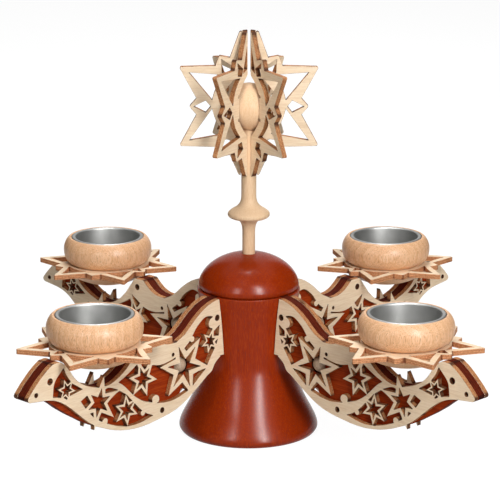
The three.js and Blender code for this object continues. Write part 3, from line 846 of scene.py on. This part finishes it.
    def mark_grain(self, shape: bmesh.types.BMesh, middle: float) -> None:
        """Write each point's place in the stock, its grain along Z, and give the edges their material.

        Args:
            shape: The sawn shape in the drawing's frame.
            middle: Height of the sheet's middle in that frame.
        """
        layer = shape.verts.layers.float_vector.new(STOCK)
        for vertex in shape.verts:
            across = vertex.co.y + self.shift
            vertex[layer] = Vector((across, vertex.co.z - middle, vertex.co.x + self.shift)) * MM
        for face in shape.faces:
            face.material_index = 0 if abs(face.normal.z) > self.FLAT else 1

    def mark_burn(self, shape: bmesh.types.BMesh, loops: list[list[Mark]]) -> None:
        """Write on each point how near it is to a corner, where the saw turned, or to a drilled hole.

        Args:
            shape: The sawn shape in the drawing's frame.
            loops: The marks of each outline.
        """
        burnt = []
        for loop in loops:
            drilled = not any(mark.corner for mark in loop)
            burnt += [mark.at for mark in loop if mark.corner or drilled]
        near = KDTree(len(burnt))
        for i, place in enumerate(burnt):
            near.insert(place.to_3d(), i)
        near.balance()
        layer = shape.verts.layers.float.new(BURN)
        for vertex in shape.verts:
            distance = near.find((vertex.co.x, vertex.co.y, 0.0))[2]
            vertex[layer] = max(0.0, 1.0 - distance / self.burn_reach)


def around(loop: list[Vector]) -> list[tuple[Vector, Vector, Vector]]:
    """Give each point of a closed loop with the points before and after it."""
    return list(zip(loop[-1:] + loop[:-1], loop, loop[1:] + loop[:1]))


def turn_at(a: Vector, b: Vector, c: Vector) -> float:
    """Find how much a path turns at its middle point.

    Args:
        a: The point before.
        b: The point itself.
        c: The point after.

    Returns:
        The angle by which it turns left.
    """
    come, leave = b - a, c - b
    if come.length < TINY or leave.length < TINY:
        return 0.0
    return copysign(come.angle(leave, 0.0), come.x * leave.y - come.y * leave.x)


def middle_of(node: str) -> Vector:
    """Give the middle of a node's box, with the height of its foot."""
    low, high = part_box(node)
    return Vector(((low.x + high.x) / 2, (low.y + high.y) / 2, low.z))


# Sub-assemblies


ARMS = {"front_left": 225, "front_right": 315, "back_left": 135, "back_right": 45}  # azimuth of each arm
ARM_STOCK = 230.0  # millimetres of stock from one arm to the next


@dataclass
class Bell:
    """The turned bell with a slot for each arm, its cap and the dowel that joins them."""

    slot_width: float = 6.0
    slot_start: float = 11.7
    slot_length: float = 40.0
    slot_foot: float = 52.7
    bore: float = 5.3
    bore_foot: float = 59.7
    top: float = 88.0
    cap_bore_depth: float = 9.0
    stem_hole: float = 4.1
    stem_hole_foot: float = 10.8
    cap_height: float = 20.8
    dowel_radius: float = 4.95
    sides: int = 128
    dowel_sides: int = 40

    def build(self) -> None:
        """Build the bell, the cap and the dowel."""
        self.body()
        self.cap()
        self.dowel()

    def body(self) -> None:
        """Turn the bell and saw its slots."""
        profile = [
            (0, 0), (40.6, 0, 1.0), (41.8, 2.2), (41.45, 5), (40.2, 8.2), (38.2, 12.2), (35.8, 16.6),
            (33.4, 21.4), (31.2, 26.6), (29.2, 32.2), (27.6, 37.6), (26.6, 42), (26.3, 46), (26.7, 51.5),
            (27.4, 60), (28.2, 70), (29.2, 79), (30.3, 84.6), (30.7, self.top, 0.5),
            (self.bore, self.top, 0.3), (self.bore, self.bore_foot, 0.1), (0, self.bore_foot),
        ]
        shape = Lathe(self.sides).turn(profile)
        mark_stock(shape, at(0, 0, 0), (61.0, 23.0, 0.0))
        piece = finished("bell_body_wood", shape, "bell_body", Body.STAND.value, [STAIN])
        cutter = self.slots()
        cut = piece.modifiers.new("slots", "BOOLEAN")
        cut.operation = "DIFFERENCE"
        cut.solver = "EXACT"
        cut.object = cutter
        evaluated = piece.evaluated_get(bpy.context.evaluated_depsgraph_get())
        mesh = bpy.data.meshes.new_from_object(evaluated)
        piece.modifiers.remove(cut)
        piece.data = mesh
        bpy.data.objects.remove(cutter)
        mesh.set_sharp_from_angle(angle=SHARP_EDGE)

    def slots(self) -> bpy.types.Object:
        """Make the cutter for the slots.

        Returns:
            One bar for each arm, from near the middle outwards.
        """
        shape = bmesh.new()
        length, height = self.slot_length, 2 * (self.top - self.slot_foot)
        centre = Matrix.Translation((self.slot_start + length / 2, 0, self.slot_foot + height / 2))
        size = Matrix.Diagonal((length, self.slot_width, height, 1.0))
        for azimuth in sorted(ARMS.values()):
            place = Matrix.Scale(MM, 4) @ Matrix.Rotation(radians(azimuth), 4, "Z") @ centre @ size
            bmesh.ops.create_cube(shape, size=1.0, matrix=place)
        mesh = bpy.data.meshes.new("slots")
        shape.to_mesh(mesh)
        shape.free()
        cutter = bpy.data.objects.new("slots", mesh)
        bpy.context.scene.collection.objects.link(cutter)
        return cutter

    def cap(self) -> None:
        """Turn the cap."""
        profile = [
            (0, self.cap_bore_depth), (self.bore, self.cap_bore_depth, 0.1), (self.bore, 0, 0.2),
            (29.2, 0, 0.4), (29.75, 1.0), (30, 2.7), (29.5, 4.6), (28.6, 6.9), (26.9, 9.6), (24.6, 12.2),
            (21.6, 14.7), (18.0, 16.9), (13.6, 18.8), (9.0, 20.1), (self.stem_hole, self.cap_height, 0.12),
            (self.stem_hole, self.stem_hole_foot, 0.1), (0, self.stem_hole_foot),
        ]
        shape = Lathe(self.sides).turn(profile)
        mark_stock(shape, at(*middle_of("bell_cap")), (55.0, -31.0, 140.0))
        finished("bell_cap_wood", shape, "bell_cap", Body.CAP.value, [STAIN])

    def dowel(self) -> None:
        """Turn the dowel between the bell and the cap."""
        low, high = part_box("cap_dowel")
        length = (high.z - low.z) / MM
        profile = [(0, 0), (self.dowel_radius, 0, 0.5), (self.dowel_radius, length, 0.5), (0, length)]
        shape = Lathe(self.dowel_sides).turn(profile)
        mark_stock(shape, at(*middle_of("cap_dowel")), (40.0, 12.0, 0.0))
        finished("cap_dowel_wood", shape, "cap_dowel", Body.CAP.value, [BEECH])


@dataclass
class Finial:
    """The stem with its collar, the ball and the six blades of the star."""

    blades: int = 6
    ball_radius: float = 13.8
    bore: float = 3.3
    bore_depth: float = 10.0
    stem_foot: float = 99.4
    shoulder: float = 184.0
    tenon: float = 3.0
    tenon_top: float = 194.0
    stem_sides: int = 72
    ball_sides: int = 80

    def build(self) -> None:
        """Build the stem, the ball and the blades."""
        self.stem()
        self.ball()
        for number in range(self.blades):
            self.blade(number)

    def stem(self) -> None:
        """Turn the stem; its heights are those above the table."""
        heights = [
            (0, self.stem_foot), (3.8, self.stem_foot, 0.3), (3.8, 121), (3.9, 124), (4.5, 127), (5.8, 129),
            (7.6, 130.1), (9.4, 130.5), (11.2, 131.1), (12.25, 132), (12.5, 133), (12.2, 134), (11.2, 135),
            (9.7, 136.1), (7.9, 137.2), (6.3, 138.6), (5.2, 140.3), (4.6, 142.4), (4.45, 145),
            (4.45, self.shoulder, 0.3), (self.tenon, self.shoulder, 0.1), (self.tenon, self.tenon_top, 0.3),
            (0, self.tenon_top),
        ]
        profile = [(p[0], p[1] - self.stem_foot, *p[2:]) for p in heights]
        shape = Lathe(self.stem_sides).turn(profile)
        mark_stock(shape, at(*middle_of("star_stem")), (48.0, 9.0, 20.0))
        finished("star_stem_wood", shape, "star_stem", Body.FINIAL.value, [PALE_BEECH])

    def ball(self) -> None:
        """Turn the ball, with the bore for the stem's tenon."""
        low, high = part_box("star_ball")
        middle = high.z / MM - self.ball_radius
        start = -acos(self.bore / self.ball_radius)
        top = self.bore_depth - self.ball_radius
        steps = 16
        turns = [start + (pi / 2 - start) * i / steps for i in range(1, steps)]
        curve = [(self.ball_radius * cos(turn), self.ball_radius * sin(turn)) for turn in turns]
        mouth = (self.bore, self.ball_radius * sin(start), 0.1)
        profile = [(0, top), (self.bore, top, 0.1), mouth, *curve, (0, self.ball_radius)]
        shape = Lathe(self.ball_sides).turn(profile)
        mark_stock(shape, at((low.x + high.x) / 2, (low.y + high.y) / 2, middle * MM), (70.0, 15.0, 60.0))
        finished("star_ball_wood", shape, "star_ball", Body.FINIAL.value, [PALE_BEECH])

    def blade(self, number: int) -> None:
        """Saw one blade, which stands on edge and points straight out from the stem.

        Args:
            number: The blade's number, from 0.
        """
        outward = Matrix.Rotation(2 * pi * number / self.blades, 4, "Z") @ Matrix.Rotation(pi / 2, 4, "X")
        FretSheet(
            f"star_blade_{number + 1}", outward, Body.FINIAL.value, BIRCH_FACE, PLY_EDGE,
            shift=40.0 + 37.0 * number, tip_rounding=0.9,
        ).build()


@dataclass
class Arm:
    """One arm with its panels, core and bead, and the dome, drip star, cup and holder on it."""

    name: str
    azimuth: float
    shift: float
    bead_radius: float = 5.0
    pin_bore: float = 4.3
    pin_radius: float = 3.95
    dome_height: float = 10.0
    dome_bore_foot: float = 3.5
    cup_height: float = 16.7
    rebate: float = 22.8
    rebate_foot: float = 15.5
    recess: float = 20.8
    recess_foot: float = 2.2
    holder_outside: float = 20.5
    holder_inside: float = 20.0
    holder_floor: float = 0.5
    cup_sides: int = 112
    bead_sides: int = 48
    pin_sides: int = 32
    holder_body: str = field(init=False)

    def __post_init__(self) -> None:
        """Name the body of the tealight holder."""
        self.holder_body = f"{self.name}_holder"

    def build(self) -> None:
        """Build the arm's pieces from the bell outwards and upwards."""
        upright = Matrix.Rotation(radians(self.azimuth), 4, "Z") @ Matrix.Rotation(pi / 2, 4, "X")
        stand = Body.STAND.value
        for side, shift in (("front", 0.0), ("back", 90.0)):
            node = f"{self.name}_arm_{side}_panel"
            FretSheet(node, upright, stand, BIRCH_FACE, PLY_EDGE, shift=self.shift + shift).build()
        core = f"{self.name}_arm_core"
        FretSheet(core, upright, stand, CORE_FACE, CORE_EDGE, shift=self.shift + 45.0).build()
        self.bead()
        self.drip_star()
        self.dome()
        self.cup()
        self.pin()
        self.holder()

    def turned(self, part: str, profile: list[ProfilePoint], finish: Finish, body: str, sides: int) -> None:
        """Turn a piece of the arm and finish it.

        Args:
            part: The piece's name in the arm.
            profile: Its profile, with heights above its foot.
            finish: What it is finished with.
            body: The body that it rides on.
            sides: How many sides the turned shape has.
        """
        node = f"{self.name}_{part}"
        shape = Lathe(sides).turn(profile)
        mark_stock(shape, at(*middle_of(node)), (58.0, 11.0 + self.shift, self.shift))
        ending = "metal" if isinstance(finish, PressedMetal) else "wood"
        finished(f"{node}_{ending}", shape, node, body, [finish])

    def bead(self) -> None:
        """Turn the bead in the middle of the large star."""
        steps = 14
        turns = [pi * i / steps - pi / 2 for i in range(steps + 1)]
        ball = [(self.bead_radius * cos(turn), self.bead_radius * (1 + sin(turn))) for turn in turns]
        profile = [(0, 0), *ball[1:-1], (0, 2 * self.bead_radius)]
        self.turned("arm_bead", profile, BEAD_BEECH_PAINTED_SHADE, Body.STAND.value, self.bead_sides)

    def drip_star(self) -> None:
        """Saw the pierced star that lies under the cup."""
        node = f"{self.name}_drip_star"
        centre = middle_of(node)
        flat = Matrix.Translation((centre.x, centre.y, 0)) @ Matrix.Rotation(radians(self.azimuth), 4, "Z")
        FretSheet(
            node, flat, Body.STAND.value, BIRCH_FACE, PALE_EDGE, shift=self.shift + 20.0, tip_rounding=0.9,
            burn_reach=1.2,
        ).build()

    def dome(self) -> None:
        """Turn the saucer-shaped dome under the drip star."""
        profile = [
            (0, 0), (4, 0.12), (8.1, 0.5), (11.6, 1.25), (15.1, 2.3), (18.4, 3.7), (21.6, 5.35), (24.1, 6.9),
            (26, 8.1, 0.35), (26, self.dome_height, 0.35), (self.pin_bore, self.dome_height, 0.1),
            (self.pin_bore, self.dome_bore_foot, 0.1), (0, self.dome_bore_foot),
        ]
        self.turned("dome", profile, BEECH, Body.STAND.value, self.cup_sides)

    def cup(self) -> None:
        """Turn the cup, with a rebate for the holder's rim and a recess for its wall."""
        profile = [
            (self.pin_bore, 0), (22.5, 0, 0.3), (24.4, 0.95), (25.9, 2.5), (27.0, 4.8), (27.5, 7.2),
            (27.6, 9.3), (27.35, 11.3), (26.6, 13.4), (25.6, 15.1), (24.6, 16.2),
            (23.95, self.cup_height, 0.25), (self.rebate, self.cup_height, 0.15),
            (self.rebate, self.rebate_foot, 0.1), (self.recess, self.rebate_foot, 0.1),
            (self.recess, self.recess_foot, 0.1), (self.pin_bore, self.recess_foot, 0.1), (self.pin_bore, 0),
        ]
        self.turned("cup", profile, BEECH, Body.STAND.value, self.cup_sides)

    def pin(self) -> None:
        """Turn the dowel through the dome, the drip star and the cup's floor."""
        low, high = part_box(f"{self.name}_cup_dowel")
        length = (high.z - low.z) / MM
        profile = [(0, 0), (self.pin_radius, 0, 0.4), (self.pin_radius, length, 0.2), (0, length)]
        self.turned("cup_dowel", profile, BEECH, Body.STAND.value, self.pin_sides)

    def holder(self) -> None:
        """Press the tealight holder with its rolled rim."""
        profile = [
            (0, 0), (self.holder_outside, 0, 1.0), (self.holder_outside, 13.3, 0.15), (22.2, 13.3, 0.25),
            (22.48, 13.6), (22.48, 13.95), (22.1, 14.3), (21.4, 14.4), (20.7, 14.32), (20.2, 14.0),
            (self.holder_inside, 13.4), (self.holder_inside, self.holder_floor, 1.2), (0, self.holder_floor),
        ]
        self.turned("tealight_holder", profile, HOLDER_METAL, self.holder_body, self.cup_sides)


# Studio


@dataclass(frozen=True)
class Lamp:
    """A soft box aimed at the object, with its width and height in metres.

    It lights the colours, is mirrored as a sheen, or does both.
    """

    name: str
    azimuth: float
    elevation: float
    watts: float
    width: float
    height: float
    distance: float = 1.3
    colour: bool = True
    sheen: bool = True

    def place(self, aim: Vector) -> None:
        """Hang the lamp and turn it to a point; azimuth 0 is towards the camera and 90 to its right.

        Args:
            aim: The point, in metres.
        """
        light = bpy.data.lights.new(self.name, "AREA")
        light.energy = self.watts
        light.shape = "RECTANGLE"
        light.size = self.width
        light.size_y = self.height
        lamp = bpy.data.objects.new(self.name, light)
        lamp.visible_diffuse = self.colour
        lamp.visible_glossy = self.sheen
        turn, rise = radians(self.azimuth), radians(self.elevation)
        way = Vector((sin(turn) * cos(rise), -cos(turn) * cos(rise), sin(rise)))
        lamp.location = aim + way * self.distance
        lamp.rotation_mode = "QUATERNION"
        lamp.rotation_quaternion = way.to_track_quat("Z", "Y")
        bpy.context.scene.collection.objects.link(lamp)


@dataclass
class Studio:
    """A white floor and world, soft lamps and the camera at the photograph's place."""

    floor_radius: float = 4.0
    floor_drop: float = 0.0002
    floor_sides: int = 64
    floor_grey: float = 0.5
    floor_glow: float = 1.22
    floor_glow_share: float = 0.78
    ambient: float = 0.09
    screen_radius: float = 0.7
    screen_height: float = 0.9
    screen_start: float = 66.0
    screen_turn: float = 90.0
    screen_panels: int = 9
    screen_grey: float = 0.02
    aim_height: float = 0.1
    camera_at: tuple[float, float, float] = (-0.01964, -1.43574, 0.48914)
    camera_pan: float = 0.01422
    camera_pitch: float = 0.25764
    camera_roll: float = 0.00197
    camera_lens: float = 179.67
    lamps: tuple[Lamp, ...] = (
        Lamp("key", 21, 28, 12.0, 0.25, 0.7),
        Lamp("fill", -22, 56, 4.0, 0.4, 0.4, sheen=False),
        Lamp("top", 180, 82, 5.5, 0.45, 0.45),
        Lamp("key sheen", 26, 18, 27.0, 0.2, 0.8, colour=False),
        Lamp("fill sheen", -28, 20, 8.0, 0.2, 0.5, colour=False),
        Lamp("back", 170, 36, 6.0, 0.6, 0.6, sheen=False),
        Lamp("top sheen", 180, 83, 17.0, 0.22, 0.22, colour=False),
    )

    def build(self) -> None:
        """Set up the floor, the world, the lamps and the camera."""
        self.floor()
        self.screens()
        self.world()
        aim = Vector((0, 0, self.aim_height))
        for lamp in self.lamps:
            lamp.place(aim)
        self.camera()
        bpy.context.scene.view_settings.view_transform = "Standard"

    def seen(self, graph: Graph) -> bpy.types.NodeSocket:
        """Mask the rays that see the white background.

        Args:
            graph: The graph that the mask is for.

        Returns:
            The socket of the mask: 1 for rays from the camera and for those seen in metal and glass.
        """
        path = graph.node("ShaderNodeLightPath").outputs
        glossy = graph.math("MAXIMUM", path["Is Glossy Ray"], path["Is Transmission Ray"])
        return graph.math("MAXIMUM", path["Is Camera Ray"], glossy)

    def floor(self) -> None:
        """Lay the floor: white to the camera, with the object's soft shadow on it."""
        shape = bmesh.new()
        bmesh.ops.create_circle(
            shape, cap_ends=True, radius=self.floor_radius, segments=self.floor_sides,
            matrix=Matrix.Translation((0, 0, -self.floor_drop)),
        )
        _, graph = self.staged("floor", shape)
        colour = (self.floor_grey, self.floor_grey, self.floor_grey, 1.0)
        grey = graph.node("ShaderNodeBsdfDiffuse", {"Color": colour}).outputs[0]
        white = graph.node("ShaderNodeEmission", {"Strength": self.floor_glow}).outputs[0]
        share = graph.math("MULTIPLY", self.seen(graph), self.floor_glow_share)
        mixed = graph.node("ShaderNodeMixShader", {0: share, 1: grey, 2: white}).outputs[0]
        graph.node("ShaderNodeOutputMaterial", {"Surface": mixed})

    def screens(self) -> None:
        """Stand a dark screen on each side, unseen by the camera, to keep turned sides deep in colour."""
        shape = bmesh.new()
        for side in (-1, 1):
            turn = side * radians(self.screen_start)
            x, y = self.screen_radius * sin(turn), -self.screen_radius * cos(turn)
            ends = [shape.verts.new((x, y, height)) for height in (0.0, self.screen_height)]
            bmesh.ops.spin(
                shape, geom=[*ends, shape.edges.new(ends)], cent=(0, 0, 0), axis=(0, 0, 1), dvec=(0, 0, 0),
                angle=side * radians(self.screen_turn), steps=self.screen_panels,
            )
        screens, graph = self.staged("screens", shape)
        screens.visible_camera = False
        colour = (self.screen_grey, self.screen_grey, self.screen_grey, 1.0)
        dark = graph.node("ShaderNodeBsdfDiffuse", {"Color": colour}).outputs[0]
        graph.node("ShaderNodeOutputMaterial", {"Surface": dark})

    def staged(self, name: str, shape: bmesh.types.BMesh) -> tuple[bpy.types.Object, Graph]:
        """Put a shape into the studio.

        Args:
            name: Its name.
            shape: The shape in metres; it is used up.

        Returns:
            The object, and the empty graph of its material.
        """
        mesh = bpy.data.meshes.new(name)
        shape.to_mesh(mesh)
        shape.free()
        material = bpy.data.materials.new(name)
        material.use_nodes = True
        mesh.materials.append(material)
        thing = bpy.data.objects.new(name, mesh)
        bpy.context.scene.collection.objects.link(thing)
        return thing, Graph(material.node_tree)

    def world(self) -> None:
        """Make the world white to the camera and a plain soft light to everything else."""
        world = bpy.data.worlds.new("studio")
        world.use_nodes = True
        bpy.context.scene.world = world
        graph = Graph(world.node_tree)
        soft = graph.node("ShaderNodeBackground", {"Strength": self.ambient}).outputs[0]
        white = graph.node("ShaderNodeBackground", {"Strength": 1.0}).outputs[0]
        mixed = graph.node("ShaderNodeMixShader", {0: self.seen(graph), 1: soft, 2: white}).outputs[0]
        graph.node("ShaderNodeOutputWorld", {"Surface": mixed})

    def camera(self) -> None:
        """Place the camera where the photograph was taken from."""
        data = bpy.data.cameras.new("camera")
        data.lens = self.camera_lens
        data.sensor_width = 36.0
        data.clip_start = 0.05
        camera = bpy.data.objects.new("camera", data)
        pan, pitch = self.camera_pan, self.camera_pitch
        forward = Vector((sin(pan) * cos(pitch), cos(pan) * cos(pitch), -sin(pitch)))
        camera.rotation_mode = "QUATERNION"
        level = (-forward).to_track_quat("Z", "Y")
        camera.rotation_quaternion = level @ Matrix.Rotation(self.camera_roll, 3, "Z").to_quaternion()
        camera.location = self.camera_at
        bpy.context.scene.collection.objects.link(camera)
        bpy.context.scene.camera = camera


def main() -> None:
    """Build the studio and the whole object."""
    logging.basicConfig(level=logging.INFO, format="%(message)s")
    Studio().build()
    Bell().build()
    for number, (name, azimuth) in enumerate(ARMS.items()):
        Arm(name, azimuth, ARM_STOCK * number).build()
    Finial().build()


if __name__ == "__main__":
    main()
